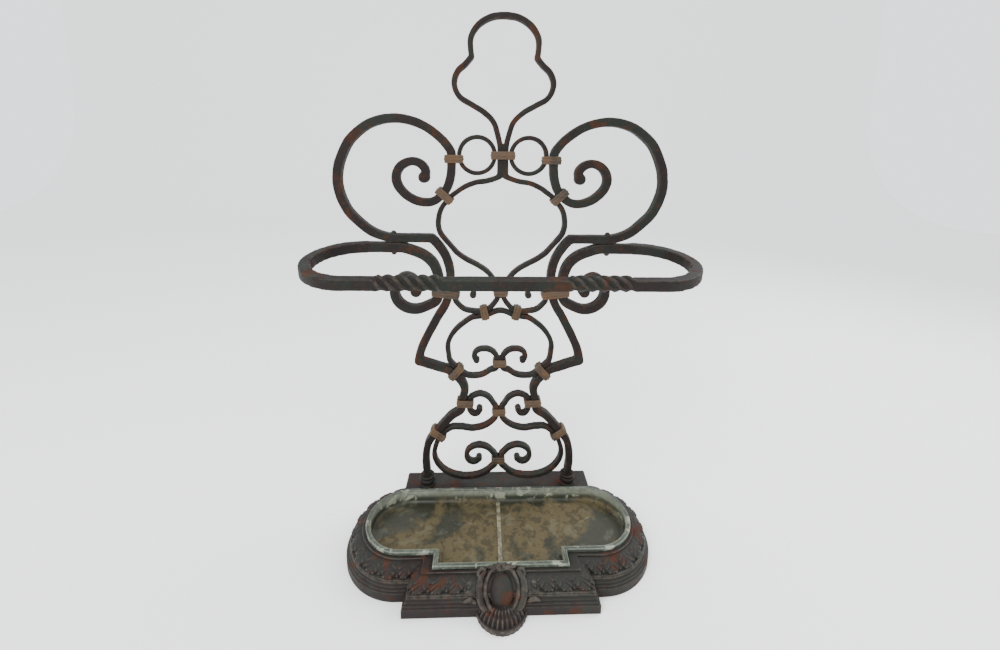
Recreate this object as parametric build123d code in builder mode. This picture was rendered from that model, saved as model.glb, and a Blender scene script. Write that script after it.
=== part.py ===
from build123d import *
import math
import os

os.makedirs("parts", exist_ok=True)

# Umbrella stand: a forged scroll frame riveted to a hoop, on a hollow cast base with a lift-out drip tray.
# Millimetres, +Z up, +Y to the back. The origin is on the floor, under the middle of the overall depth.

# ---- overall sizes
frame_half_width = 238.0     # centre line of the big upper scroll, from the middle
frame_top = 763.3            # centre line of the finial, above the floor
frame_from_back = 27.0       # bar centres, in front of the base's flat back

# ---- bar sections, across the scrollwork and front to back
stile_foot = 11.0
stile_wide = 13.0
stile_arch = 15.0
stile_deep = 14.0
stile_taper = 2.5            # thinner by this much at the scroll's eye
stile_eye = 8.4              # radius of the hammered ball that ends the scroll
hoop_bar_size = 15.0
hoop_taper = 1.5
hoop_eye = 8.6
crest_wide = 8.0
crest_deep = 12.0
crest_taper = 1.0
crest_eye = 5.4
ring_wide = 6.5
ring_deep = 12.0
ring_radius = 25.8           # centre line
lyre_wide = 7.6
lyre_deep = 11.0
lyre_eye = 5.0
lower_wide = 7.6
lower_deep = 11.0
lower_eye = 5.2
bar_gap = 0.3                # air between bars that lie side by side
sample_spacing = 4.0         # along a bar's centre line
least_step = 0.5             # between points of its outline
foot_run = 20.0              # straight start of a stile, above the base

# ---- hoop
hoop_half_width = 262.0      # centre line at the loop's ends
hoop_reach = 128.0           # rear bar to front bar, along the loop's plane
hoop_tilt = 9.0              # the front bar hangs lower
twist_start = 76.0           # plain middle ends here, twisted stretch begins
twist_length = 84.0
twist_turn = 540.0

# ---- collars: strips wrapped three times round the bars
collar_wall = 2.6
collar_turns = 3
turn_width = 4.0
turn_round = 2.0
groove_wide = 0.7            # at each edge of a turn
groove_deep = 0.8
bore_inset = 0.5             # a collar's bore, inside the bars it holds
middle_turn_swell = 0.7

# ---- base casting
base_height = 41.0
base_flare = 27.0            # plinth face, outside the edge of the tray's rim
mouldings = (                # bottom, top, and how far each stands outside the rim at those heights
    (0.0, 12.0, 27.0, 27.0), (12.0, 15.0, 25.5, 25.5), (15.0, 18.5, 23.5, 23.5), (18.5, 21.5, 21.5, 21.5),
    (21.5, 26.0, 20.5, 20.5), (26.0, 33.0, 19.0, 15.0), (33.0, 39.0, 15.0, 5.0), (39.0, 41.0, 4.5, 4.5),
)
casting_wall = 5.5
rear_half_width = 150.0
block_margin = 9.0           # front block, wider than the front of the tray's rim
shell_radius = 34.0
shell_reach = 24.0           # in front of the plinth
shell_height = 19.0
boss_half_width = 17.0
boss_half_height = 15.0
boss_proud = 6.0
boss_z = 25.0
boss_inset = 8.0             # behind the plinth's face

# ---- drip tray
basin_straight = 136.0
basin_radius = 58.0          # outside of the rim at the round ends
tray_front_half = 90.0       # outside of the rim along the front
tray_front_step = 21.0       # front, ahead of the round part
rim_width = 5.0
rim_height = 5.0
rim_round = 1.25
tray_depth = 16.0            # outside, below the base's top
tray_wall = 1.6
tray_corner = 6.0
tray_clearance = 1.0
seam_width = 6.0
seam_height = 0.9
seam_round = 0.3

# ---- fasteners
tenon_radius = 4.5
tenon_clearance = 0.3
washer_radius = 11.0
washer_thick = 2.0
nut_across = 15.0
nut_thick = 7.0
tenon_spare = 3.0
rivet_radius = 3.0
rivet_clearance = 0.1
rivet_head = 4.2
foot_collar_radius = 13.0
foot_collar_rings = ((3.0, 0.0), (3.5, 2.0), (5.5, 0.6), (3.0, 2.4), (3.0, 1.2))   # height, inset
foot_collar_to_rim = 2.4

ledge_depth = frame_from_back + foot_collar_radius + foot_collar_to_rim
base_depth = shell_reach + base_flare + tray_front_step + 2 * basin_radius + ledge_depth
back_y = base_depth / 2
frame_y = base_depth / 2 - frame_from_back
frame_plane = Plane(origin=(0, frame_y, 0), x_dir=(1, 0, 0), z_dir=(0, -1, 0))
drawn_half_width = 238.0
drawn_top = 763.3
drawn_base = 41.0
stretch_x = frame_half_width / drawn_half_width
stretch_z = (frame_top - base_height) / (drawn_top - drawn_base)


def at(x, z):
    """Place on the scrollwork, drawn for the usual width and height and stretched to this one."""
    return Vector(x * stretch_x, base_height + (z - drawn_base) * stretch_z)


def beside(spot, angle, shift):
    """The two ends of a straight run through a collar, shift to the left of its direction."""
    along = Vector(math.cos(math.radians(angle)), math.sin(math.radians(angle)))
    across = Vector(-along.Y, along.X)
    half = collar_turns * turn_width / 2
    return [[spot + across * shift - along * half, spot + across * shift + along * half]]


def downward(run):
    """The same straight run, followed the other way."""
    return [[run[0][1], run[0][0]]]


def pair_shift(wide):
    return (wide + bar_gap) / 2


def reflected(along, chord):
    """Direction at the other end of the arc that leaves one end of a chord in a given direction."""
    unit = chord.normalized()
    return unit * (2 * unit.dot(along)) - along


def smooth_run(points, start_along, end_along):
    """Curves through the points, each close to the arc through its neighbours."""
    chords = [second - first for first, second in zip(points, points[1:])]
    inner = [(before / before.length**2 + after / after.length**2).normalized()
             for before, after in zip(chords, chords[1:])]
    start_along = start_along or reflected(inner[0] if inner else end_along, chords[0])
    end_along = end_along or reflected(inner[-1] if inner else start_along, chords[-1])
    ways = [start_along, *inner, end_along]
    edges = []
    for i, chord in enumerate(chords):
        # a third of the chord, or a little more where the curve leaves it at an angle
        reach = [chord.length / (1.5 * (1 + chord.normalized().dot(way))) for way in ways[i:i + 2]]
        edges.append(Bezier(points[i], points[i] + ways[i] * reach[0],
                            points[i + 1] - ways[i + 1] * reach[1], points[i + 1]))
    return edges


def centre_line(points):
    """Edges of a bar's centre line: a straight one for each pair of ends, smooth runs for the rest."""
    edges = []
    run = []
    start_along = None
    for item in [*points, None]:
        straight = isinstance(item, list)
        if item is not None:
            run.append(item[0] if straight else item)
        if (straight or item is None) and len(run) > 1:
            end_along = (item[1] - item[0]).normalized() if straight else None
            edges += smooth_run(run, start_along, end_along)
        if straight:
            edges.append(Line(item[0], item[1]))
            start_along = (item[1] - item[0]).normalized()
            run = [item[1]]
    return edges


def bar(points, start_width, end_width, eye=0.0):
    """Face of a bar that follows the points, straight tapered from one width to the other."""
    with BuildLine(mode=Mode.PRIVATE):
        edges = centre_line(points)
    total = sum(edge.length for edge in edges)
    done = 0.0
    left = []
    right = []
    for edge in edges:
        count = max(2, round(edge.length / sample_spacing))
        for i in range(0 if edge is edges[0] else 1, count + 1):
            spot = edge.position_at(i / count)
            along = edge.tangent_at(i / count)
            width = start_width + (end_width - start_width) * (done + edge.length * i / count) / total
            across = Vector(-along.Y, along.X) * (width / 2)
            for side, corner in ((left, spot + across), (right, spot - across)):
                # inside a tight bend the outline steps on only where it moves forward
                if not side or (corner - side[-1]).dot(along) > least_step:
                    side.append(corner)
        done += edge.length
    with BuildLine(mode=Mode.PRIVATE) as outline:
        Spline(*left)
        Line(left[-1], right[-1])
        Spline(*reversed(right))
        Line(right[0], left[0])
    make_face(outline.edges())
    if eye:
        with Locations(edges[-1].position_at(1)):
            Circle(eye)


def bend(spot, width):
    """Round outside of a sharp bend, where two runs of one bar meet."""
    with Locations(spot):
        Circle(width / 2)


def mirrored(points):
    """The points on the other side of the middle, in the other order."""
    turned = [[Vector(-p[1].X, p[1].Y), Vector(-p[0].X, p[0].Y)] if isinstance(p, list)
              else Vector(-p.X, p.Y) for p in points]
    return turned[::-1]


def finish(made, name):
    made.part.label = name
    export_step(made.part, f"parts/{name}.step")


# ---- places where bars lie side by side and a collar holds them: (spot between the bars, direction)
leg_x = pair_shift(crest_wide)
ring_x = leg_x + crest_wide / 2 + bar_gap + ring_wide / 2 + ring_radius
ring_z = at(0, 573).Y
ring_side = Vector(ring_x + ring_radius + ring_wide / 2 + bar_gap / 2, at(0, 567).Y)
oval_side = at(82, 511.5)
big_side = at(73.3, 364.5)
big_angle = 97.0
oval_angle = 132.0
lyre_top = at(24.5, 335)
lyre_top_angle = -14.0
elbow_side = at(66.5, 240)
elbow_angle = 42.0
mid_side = at(51, 186)
mid_angle = 93.0
low_side = at(94.5, 131)
low_angle = 128.0
shoulder_z = at(0, 451).Y
hoop_z = shoulder_z - (stile_wide + hoop_bar_size) / 2 - bar_gap
hoop_half_straight = hoop_half_width - hoop_reach / 2
rivet_x = at(160, 0).X

stile_low = [
    [Vector(at(114.8, 0).X, base_height), Vector(at(114.8, 0).X, base_height + foot_run)],
    at(116.6, 83), at(115.2, 103.7), at(110.6, 120.2),
    *beside(low_side, low_angle, -pair_shift(stile_wide)),
    at(76, 163), *beside(mid_side, mid_angle, -pair_shift(stile_wide)),
    at(54.2, 210.5), at(58.8, 222),
    *beside(elbow_side, elbow_angle, -pair_shift(stile_wide)),
    at(96.1, 247.2), at(125.5, 257),
]
stile_middle = [
    at(125.5, 257), at(122.5, 273), at(113.5, 294.5), at(97.3, 325.9),
    *beside(big_side, big_angle, -pair_shift(stile_wide)),
    at(76.4, 397), at(78.8, 411), at(84.5, 426), at(94.5, 441), at(104, 451),
]
stile_upper = [
    [Vector(at(104, 0).X, shoulder_z), Vector(at(151, 0).X, shoulder_z)],
    at(173, 453), at(193.6, 461.4), at(209.9, 474.7), at(223.2, 488.7), at(232.5, 506.4), at(237.6, 524.9),
    at(238, 541), at(235.3, 556.9), at(229, 573.1), at(219.9, 590.2), at(205.6, 604.4), at(189.7, 615),
    at(171.4, 621.2), at(149.7, 622.9), at(129.9, 619.4), at(112.1, 612.3), at(96.2, 601.5), at(82.4, 588.4),
    *downward(beside(ring_side, 90, -pair_shift(stile_arch))),
    at(74.8, 548.7), at(77.6, 534),
    *downward(beside(oval_side, oval_angle, -pair_shift(stile_arch))),
    at(99.5, 506.2), at(114.5, 504), at(128.7, 507.6), at(142.3, 516.5), at(151.6, 528), at(154.4, 539.6),
    at(150.4, 552.3), at(140.9, 560.5), at(128.9, 563.2), at(117.6, 558.6), at(111.6, 549.6), at(113.8, 540.4),
]
hoop_scroll = [
    [Vector(hoop_half_straight, hoop_z), Vector(at(152, 0).X, hoop_z)],
    at(131.8, 432), at(113.5, 423.5), at(101.5, 411.7), at(95.5, 396.1),
    *downward(beside(big_side, big_angle, -stile_wide - hoop_bar_size / 2 - 1.5 * bar_gap)),
    at(113.2, 345.4), at(129.7, 340.9), at(144, 343.9), at(155.2, 352.9), at(160.4, 369.7), at(155, 385),
    at(142, 392.2), at(130, 385), at(128, 369),
]
crest_finial = [
    at(0, 763.3), at(22, 759.8), at(39.4, 747.6), at(47.5, 732.6), at(47.6, 720), at(46, 708.5),
]
crest_neck = [
    at(46, 708.5), at(54, 699), at(65.7, 687.9), at(70.4, 672.5), at(64.4, 656.1), at(45.8, 643.9),
    at(27.9, 633.4), at(14.4, 620.3), at(8.2, 602.6), Vector(leg_x + 0.6, at(0, 588).Y),
    *downward(beside(Vector(leg_x, ring_z), 90, 0)), Vector(leg_x + 0.2, at(0, 543).Y),
]
crest_oval = [
    Vector(leg_x + 0.2, at(0, 543).Y), at(22.1, 536.5), at(40.5, 533.5), at(56.2, 526.8), at(68.3, 518.3),
    *downward(beside(oval_side, oval_angle, pair_shift(crest_wide))),
    at(89.6, 495), at(93.4, 482), at(93.9, 469), at(90.8, 458.5), at(83.8, 449), at(75.5, 439.5), at(67, 429.5),
    at(54.7, 420.4), at(37.8, 411.5), at(24.1, 402.8), at(12.3, 390.2), at(6.2, 379),
    *downward(beside(Vector(leg_x, at(0, 367.7).Y), 90, 0)),
    at(7, 354.3), at(13.2, 346.2),
    *beside(lyre_top, lyre_top_angle, pair_shift(crest_wide)),
    at(42.3, 337.9), at(55.7, 340.9), at(64.5, 348.5),
    *beside(big_side, big_angle, pair_shift(crest_wide)),
    at(63.5, 382.5), at(55, 386.5), at(46, 382), at(41.5, 373), at(42.1, 363.5),
]
lyre_side = [
    at(0, 338.6), at(9.5, 336.6),
    *beside(lyre_top, lyre_top_angle, -pair_shift(lyre_wide)),
    at(43, 327.5), at(55, 319.8), at(66.7, 309.7), at(75.6, 297.6), at(80.5, 284.3), at(79.9, 270),
    at(77, 256),
    *downward(beside(elbow_side, elbow_angle, pair_shift(lyre_wide))),
    at(52.5, 233.6), at(37.4, 231.6), at(24.6, 234.5), at(14.7, 241),
    *beside(Vector(pair_shift(lyre_wide), at(0, 253.4).Y), 90, 0),
    at(6.9, 267.6), at(14.6, 274.3), at(25.3, 276.4), at(35.6, 273.2), at(40, 265), at(36, 257.8),
]
lower_side = [
    at(30.8, 174.6), at(37.5, 166.5), at(44.5, 170.5),
    *beside(mid_side, mid_angle, pair_shift(lower_wide)),
    at(40.5, 197.5), at(28.7, 200.5), at(16.4, 195), at(8.5, 184),
    *downward(beside(Vector(pair_shift(lower_wide), at(0, 170.2).Y), 90, 0)),
    at(8.5, 156), at(21, 146.3), at(41.1, 141.2), at(59.1, 143.5), at(74, 143.5),
    *downward(beside(low_side, low_angle, pair_shift(lower_wide))),
    at(100.2, 112), at(103, 100.8), at(101.3, 87), at(94.5, 75), at(83.5, 64.7), at(66.3, 57.4),
    at(44.9, 55.4), at(22.9, 61.4), at(10.2, 72),
    *beside(Vector(pair_shift(lower_wide), at(0, 85.5).Y), 90, 0),
    at(9.3, 99), at(18.2, 107.5), at(30.3, 110.8), at(44.5, 106.5), at(51.2, 95.8), at(47.2, 84.6),
    at(38.5, 81.5), at(31, 87.8),
]


# ---- scrollwork bars
def other_side(made):
    with BuildPart() as left:
        add(mirror(made.part, about=Plane.YZ, mode=Mode.PRIVATE))
    return left


rivet_spots = [(side * rivet_x, frame_y) for side in (-1, 1)]
tenon_x = at(114.8, 0).X
tenon_spots = [(side * tenon_x, frame_y) for side in (-1, 1)]
washer_top = base_height - casting_wall
nut_top = washer_top - washer_thick
tenon_bottom = nut_top - nut_thick - tenon_spare

with BuildPart() as stile_right:
    with BuildSketch(frame_plane):
        bar(stile_low, stile_foot, stile_wide)
        bend(stile_low[-1], stile_wide)
        bar(stile_middle, stile_wide, stile_wide)
        bend(stile_middle[-1], stile_wide)
        bar(stile_upper, stile_wide, stile_arch - stile_taper, stile_eye)
    extrude(amount=stile_deep / 2, both=True)
    with BuildSketch(Plane.XY.offset(tenon_bottom)):
        with Locations((tenon_x, frame_y)):
            Circle(tenon_radius)
    extrude(amount=base_height - tenon_bottom)
    with BuildSketch(Plane.XY.offset(hoop_z)):
        with Locations((rivet_x, frame_y)):
            Circle(rivet_radius + rivet_clearance)
    extrude(amount=2 * stile_wide, mode=Mode.SUBTRACT)
stile_left = other_side(stile_right)

hoop_plane = Plane(
    origin=(0, frame_y, hoop_z), x_dir=(1, 0, 0),
    z_dir=(0, -math.sin(math.radians(hoop_tilt)), math.cos(math.radians(hoop_tilt))),
)
twist_middle = twist_start + twist_length / 2
with BuildPart() as twist:
    with BuildSketch(Plane.XY):
        Rectangle(hoop_bar_size, hoop_bar_size)
twist_face = twist.pending_faces[0]
twist_solid = Solid.extrude_linear_with_rotation(twist_face, (0, 0, 0), (0, 0, twist_length), twist_turn)

with BuildPart() as hoop_bar:
    with BuildSketch(hoop_plane):
        with Locations((0, -hoop_reach / 2)):
            SlotCenterToCenter(2 * hoop_half_straight, hoop_reach + hoop_bar_size)
            SlotCenterToCenter(2 * hoop_half_straight, hoop_reach - hoop_bar_size, mode=Mode.SUBTRACT)
        Rectangle(2 * hoop_half_straight, 2 * hoop_bar_size, mode=Mode.SUBTRACT)
        with Locations((-twist_middle, -hoop_reach), (twist_middle, -hoop_reach)):
            Rectangle(twist_length, 2 * hoop_bar_size, mode=Mode.SUBTRACT)
    extrude(amount=hoop_bar_size / 2, both=True)
    for start in (-twist_start - twist_length, twist_start):
        add(hoop_plane * Pos(start, -hoop_reach, 0) * Rot(0, 90, 0) * twist_solid)
    with BuildSketch(frame_plane):
        bar(hoop_scroll, hoop_bar_size, hoop_bar_size - hoop_taper, hoop_eye)
        mirror(about=Plane.YZ)
    extrude(amount=hoop_bar_size / 2, both=True)
    with BuildSketch(Plane.XY.offset(hoop_z - hoop_bar_size)):
        with Locations(*rivet_spots):
            Circle(rivet_radius + rivet_clearance)
    extrude(amount=2 * hoop_bar_size, mode=Mode.SUBTRACT)

with BuildPart() as crest_bar:
    with BuildSketch(frame_plane):
        bar(mirrored(crest_finial[1:]) + crest_finial, crest_wide, crest_wide)
        bend(crest_finial[-1], crest_wide)
        bar(crest_neck, crest_wide, crest_wide)
        bend(crest_neck[-1], crest_wide)
        bar(crest_oval, crest_wide, crest_wide - crest_taper, crest_eye)
        mirror(about=Plane.YZ)
    extrude(amount=crest_deep / 2, both=True)

with BuildPart() as ring_right:
    with BuildSketch(frame_plane):
        with Locations((ring_x, ring_z)):
            Circle(ring_radius + ring_wide / 2)
            Circle(ring_radius - ring_wide / 2, mode=Mode.SUBTRACT)
    extrude(amount=ring_deep / 2, both=True)
ring_left = other_side(ring_right)

with BuildPart() as lyre_bar:
    with BuildSketch(frame_plane):
        bar(mirrored(lyre_side[1:]) + lyre_side, lyre_wide, lyre_wide)
        for spot in (lyre_side[-1], mirrored(lyre_side)[0]):
            with Locations(spot):
                Circle(lyre_eye)
    extrude(amount=lyre_deep / 2, both=True)

with BuildPart() as lower_scroll_right:
    with BuildSketch(frame_plane):
        bar(lower_side, lower_wide, lower_wide, lower_eye)
        with Locations(lower_side[0]):
            Circle(lower_eye)
    extrude(amount=lower_deep / 2, both=True)
lower_scroll_left = other_side(lower_scroll_right)


# ---- collars
def collar(spot, angle, low, high, deep, bars):
    """Three turns of strip round bars that span low to high, to the left of their direction."""
    along = (math.cos(math.radians(angle)), 0, math.sin(math.radians(angle)))
    across = (-math.sin(math.radians(angle)), 0, math.cos(math.radians(angle)))
    start = Plane(origin=(spot.X, frame_y, spot.Y), x_dir=across, z_dir=along)
    middle = (low + high) / 2
    with BuildPart() as made:
        for turn in range(collar_turns):
            swell = middle_turn_swell if turn == collar_turns // 2 else 0
            bottom = (turn - collar_turns / 2) * turn_width
            crown = turn_width - 2 * groove_wide
            for sunk, length in ((groove_deep, groove_wide), (0, crown), (groove_deep, groove_wide)):
                wall = 2 * (collar_wall + swell - sunk)
                with BuildSketch(start.offset(bottom)):
                    with Locations((middle, 0)):
                        RectangleRounded(high - low + wall, deep + wall, turn_round)
                extrude(amount=length)
                bottom += length
        with BuildSketch(start.offset(-collar_turns * turn_width / 2)):
            with Locations((middle, 0)):
                Rectangle(high - low - crest_wide, lower_deep - 2 * bore_inset)
        extrude(amount=collar_turns * turn_width, mode=Mode.SUBTRACT)
        for held in bars:
            add(held.part, mode=Mode.SUBTRACT)
    return made


pieces = {
    "stile_left": stile_left, "stile_right": stile_right, "hoop_bar": hoop_bar, "crest_bar": crest_bar,
    "ring_left": ring_left, "ring_right": ring_right, "lyre_bar": lyre_bar,
    "lower_scroll_left": lower_scroll_left, "lower_scroll_right": lower_scroll_right,
}
leg_span = crest_wide + bar_gap / 2
ring_span = leg_span + bar_gap + ring_wide
lyre_span = lyre_wide + bar_gap / 2
lower_span = lower_wide + bar_gap / 2
stile_span = stile_wide + bar_gap / 2
arch_span = stile_arch + bar_gap / 2
hoop_span = stile_span + bar_gap + hoop_bar_size
middle_collars = {
    "crest_collar": (ring_z, ring_span, crest_deep, (crest_bar, ring_left, ring_right)),
    "centre_collar": (at(0, 367.7).Y, leg_span, crest_deep, (crest_bar,)),
    "lyre_collar": (at(0, 253.4).Y, lyre_span, lyre_deep, (lyre_bar,)),
    "mid_centre_collar": (at(0, 170.2).Y, lower_span, lower_deep, (lower_scroll_left, lower_scroll_right)),
    "low_centre_collar": (at(0, 85.5).Y, lower_span, lower_deep, (lower_scroll_left, lower_scroll_right)),
}
for name, (height, span, deep, bars) in middle_collars.items():
    pieces[name] = collar(Vector(0, height), 90, -span, span, deep, bars)
side_collars = {
    "ring_collar": (ring_side, 90, -arch_span, ring_wide + bar_gap / 2, stile_deep, (stile_right, ring_right)),
    "oval_collar": (oval_side, oval_angle, -arch_span, leg_span, stile_deep, (stile_right, crest_bar)),
    "big_collar": (big_side, big_angle, -hoop_span, leg_span, hoop_bar_size, (stile_right, crest_bar, hoop_bar)),
    "lyre_top_collar": (lyre_top, lyre_top_angle, -lyre_span, leg_span, crest_deep, (crest_bar, lyre_bar)),
    "elbow_collar": (elbow_side, elbow_angle, -stile_span, lyre_span, stile_deep, (stile_right, lyre_bar)),
    "mid_collar": (mid_side, mid_angle, -stile_span, lower_span, stile_deep, (stile_right, lower_scroll_right)),
    "low_collar": (low_side, low_angle, -stile_span, lower_span, stile_deep, (stile_right, lower_scroll_right)),
}
for name, (spot, angle, low, high, deep, bars) in side_collars.items():
    pieces[name + "_right"] = collar(spot, angle, low, high, deep, bars)
    pieces[name + "_left"] = other_side(pieces[name + "_right"])

# ---- rivets through the stiles' shoulders and the hoop
rivet_bottom = hoop_z - hoop_bar_size / 2
rivet_top = shoulder_z + stile_wide / 2
with BuildPart() as shoulder_rivets:
    with BuildSketch(Plane.XY.offset(rivet_bottom)):
        with Locations(*rivet_spots):
            Circle(rivet_radius)
    extrude(amount=rivet_top - rivet_bottom)
    for x, y in rivet_spots:
        with Locations((x, y, rivet_top), (x, y, rivet_bottom)):
            Sphere(rivet_head)
    for held in (stile_left, stile_right, hoop_bar):
        add(held.part, mode=Mode.SUBTRACT)
pieces["shoulder_rivets"] = shoulder_rivets

# ---- turned collars at the stiles' feet
with BuildPart() as foot_collar_right:
    height = base_height
    for thick, inset in foot_collar_rings:
        with BuildSketch(Plane.XY.offset(height)):
            with Locations((tenon_x, frame_y)):
                Circle(foot_collar_radius - inset)
        extrude(amount=thick)
        height += thick
    add(stile_right.part, mode=Mode.SUBTRACT)
pieces["foot_collar_right"] = foot_collar_right
pieces["foot_collar_left"] = other_side(foot_collar_right)

# ---- washers and nuts on the stiles' tenons, inside the base
with BuildPart() as foot_washers:
    with BuildSketch(Plane.XY.offset(nut_top)):
        with Locations(*tenon_spots):
            Circle(washer_radius)
            Circle(tenon_radius, mode=Mode.SUBTRACT)
    extrude(amount=washer_thick)
pieces["foot_washers"] = foot_washers
with BuildPart() as foot_nuts:
    with BuildSketch(Plane.XY.offset(nut_top - nut_thick)):
        with Locations(*tenon_spots):
            RegularPolygon(nut_across / 2, 6, major_radius=False)
            Circle(tenon_radius, mode=Mode.SUBTRACT)
    extrude(amount=nut_thick)
pieces["foot_nuts"] = foot_nuts

# ---- base casting
plinth_front = -base_depth / 2 + shell_reach
basin_y = plinth_front + base_flare + tray_front_step + basin_radius


def tray_outline(inset):
    """Outline of the tray's rim, or of what lies inside it."""
    radius = basin_radius - inset
    front = basin_y - basin_radius - tray_front_step + inset
    with Locations((0, basin_y)):
        SlotCenterToCenter(2 * basin_straight, 2 * radius)
    with Locations((0, (basin_y + front) / 2)):
        Rectangle(2 * (tray_front_half - inset), basin_y - front)


def base_outline(grow):
    """Outline of the casting's mouldings, grow outside the tray's rim."""
    front = basin_y - basin_radius - tray_front_step - grow
    with Locations((0, basin_y)):
        SlotCenterToCenter(2 * basin_straight, 2 * (basin_radius + grow))
    with Locations((0, (basin_y + front) / 2)):
        Rectangle(2 * (tray_front_half + block_margin + grow), basin_y - front)


def rear_outline(inset):
    """Outline of the straight block behind the basin, where the stiles stand."""
    with Locations((0, (basin_y + back_y - inset) / 2)):
        Rectangle(2 * (rear_half_width - inset), back_y - inset - basin_y)


with BuildPart() as hollow:
    for bottom, top, low, high in mouldings:
        with BuildSketch(Plane.XY.offset(bottom - casting_wall)):
            base_outline(high - casting_wall)
        extrude(amount=top - bottom)
    with BuildSketch(Plane.XY):
        rear_outline(casting_wall)
    extrude(amount=base_height - casting_wall)

with BuildPart() as base_casting:
    for bottom, top, low, high in mouldings:
        with BuildSketch(Plane.XY.offset(bottom)):
            base_outline(low)
        extrude(amount=top - bottom, taper=math.degrees(math.atan2(low - high, top - bottom)))
    with BuildSketch(Plane.XY):
        rear_outline(0)
    extrude(amount=base_height)
    with BuildSketch(Plane.XY):
        with Locations((0, plinth_front - shell_reach + shell_radius)):
            Circle(shell_radius)
    extrude(amount=shell_height)
    with BuildSketch(Plane(origin=(0, plinth_front + boss_inset, boss_z), x_dir=(1, 0, 0), z_dir=(0, -1, 1))):
        Ellipse(boss_half_width, boss_half_height)
    extrude(amount=boss_proud)
    add(hollow.part, mode=Mode.SUBTRACT)
    with BuildSketch(Plane.XY.offset(base_height - 2 * casting_wall)):
        tray_outline(rim_width - tray_clearance)
    extrude(amount=3 * casting_wall, mode=Mode.SUBTRACT)
    with BuildSketch(Plane.XY.offset(base_height - 2 * casting_wall)):
        with Locations(*tenon_spots):
            Circle(tenon_radius + tenon_clearance)
    extrude(amount=3 * casting_wall, mode=Mode.SUBTRACT)
pieces["base_casting"] = base_casting

# ---- drip tray, in two halves soldered down the middle
tray_bottom = base_height - tray_depth
rim_top = base_height + rim_height
wall_top = rim_top - rim_round
with BuildPart() as tray_inside:
    with BuildSketch(Plane.XY.offset(tray_bottom + tray_wall)):
        tray_outline(rim_width + tray_wall)
    extrude(amount=wall_top - tray_bottom)
    fillet(tray_inside.edges().group_by(Axis.Z)[0], tray_corner - tray_wall)
with BuildPart() as tray:
    with BuildSketch(Plane.XY.offset(tray_bottom)):
        tray_outline(rim_width)
    extrude(amount=wall_top - tray_bottom)
    fillet(tray.edges().group_by(Axis.Z)[0], tray_corner)
    add(tray_inside.part, mode=Mode.SUBTRACT)
for name, kept in (("tray_right", Keep.TOP), ("tray_left", Keep.BOTTOM)):
    with BuildPart() as half:
        add(tray.part)
        split(bisect_by=Plane.YZ, keep=kept)
    pieces[name] = half
with BuildPart() as tray_seam:
    with BuildSketch(Plane.XY.offset(tray_bottom + tray_wall)):
        front = basin_y - basin_radius - tray_front_step + rim_width + tray_corner
        back = basin_y + basin_radius - rim_width - tray_corner
        with Locations((0, (front + back) / 2)):
            Rectangle(seam_width, back - front)
    extrude(amount=seam_height)
    fillet(tray_seam.edges().group_by(Axis.Z)[-1], seam_round)
pieces["tray_seam"] = tray_seam
with BuildPart() as tray_rim:
    with BuildSketch(Plane.XY.offset(base_height)):
        tray_outline(0)
    extrude(amount=rim_height)
    with BuildSketch(Plane.XY.offset(base_height)):
        tray_outline(rim_width)
    extrude(amount=rim_height, mode=Mode.SUBTRACT)
    fillet(tray_rim.edges().group_by(Axis.Z)[-1], rim_round)
pieces["tray_rim"] = tray_rim

for name, made in pieces.items():
    finish(made, name)
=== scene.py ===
import bmesh
import bpy
import math
import numpy as np
from mathutils import Matrix, Vector, noise


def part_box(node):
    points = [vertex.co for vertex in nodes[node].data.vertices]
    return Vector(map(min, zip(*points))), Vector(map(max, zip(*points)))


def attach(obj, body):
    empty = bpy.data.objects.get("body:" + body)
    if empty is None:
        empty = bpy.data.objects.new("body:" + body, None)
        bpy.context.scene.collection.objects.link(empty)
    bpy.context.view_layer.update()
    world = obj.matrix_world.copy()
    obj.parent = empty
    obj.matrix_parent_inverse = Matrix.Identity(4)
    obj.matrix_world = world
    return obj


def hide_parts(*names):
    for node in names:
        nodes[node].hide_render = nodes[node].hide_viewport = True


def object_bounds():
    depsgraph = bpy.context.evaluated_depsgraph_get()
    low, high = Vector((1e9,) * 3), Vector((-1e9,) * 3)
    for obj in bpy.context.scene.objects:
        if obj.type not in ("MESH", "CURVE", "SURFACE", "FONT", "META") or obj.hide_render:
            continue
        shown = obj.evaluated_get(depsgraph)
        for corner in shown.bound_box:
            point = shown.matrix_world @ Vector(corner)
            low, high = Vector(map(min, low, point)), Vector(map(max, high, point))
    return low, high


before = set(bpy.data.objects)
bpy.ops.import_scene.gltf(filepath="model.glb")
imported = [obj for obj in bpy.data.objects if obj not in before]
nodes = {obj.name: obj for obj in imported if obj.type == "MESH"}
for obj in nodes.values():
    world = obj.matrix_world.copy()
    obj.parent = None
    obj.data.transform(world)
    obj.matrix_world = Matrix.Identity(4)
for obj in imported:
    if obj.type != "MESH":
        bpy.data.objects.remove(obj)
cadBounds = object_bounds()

mm = 0.001
print("frame loaded:", len(nodes), "nodes")

# camera, floor and light
cameraSet = {
    "place": (-0.0283, -0.546, 0.563),   # where the eye is, in the stand's own frame
    "turn": math.radians(2.33),          # to the right of straight ahead
    "down": math.radians(9.30),
    "roll": math.radians(0.9),
    "lens": 15.48,
    "shiftY": -0.092,
}


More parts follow.
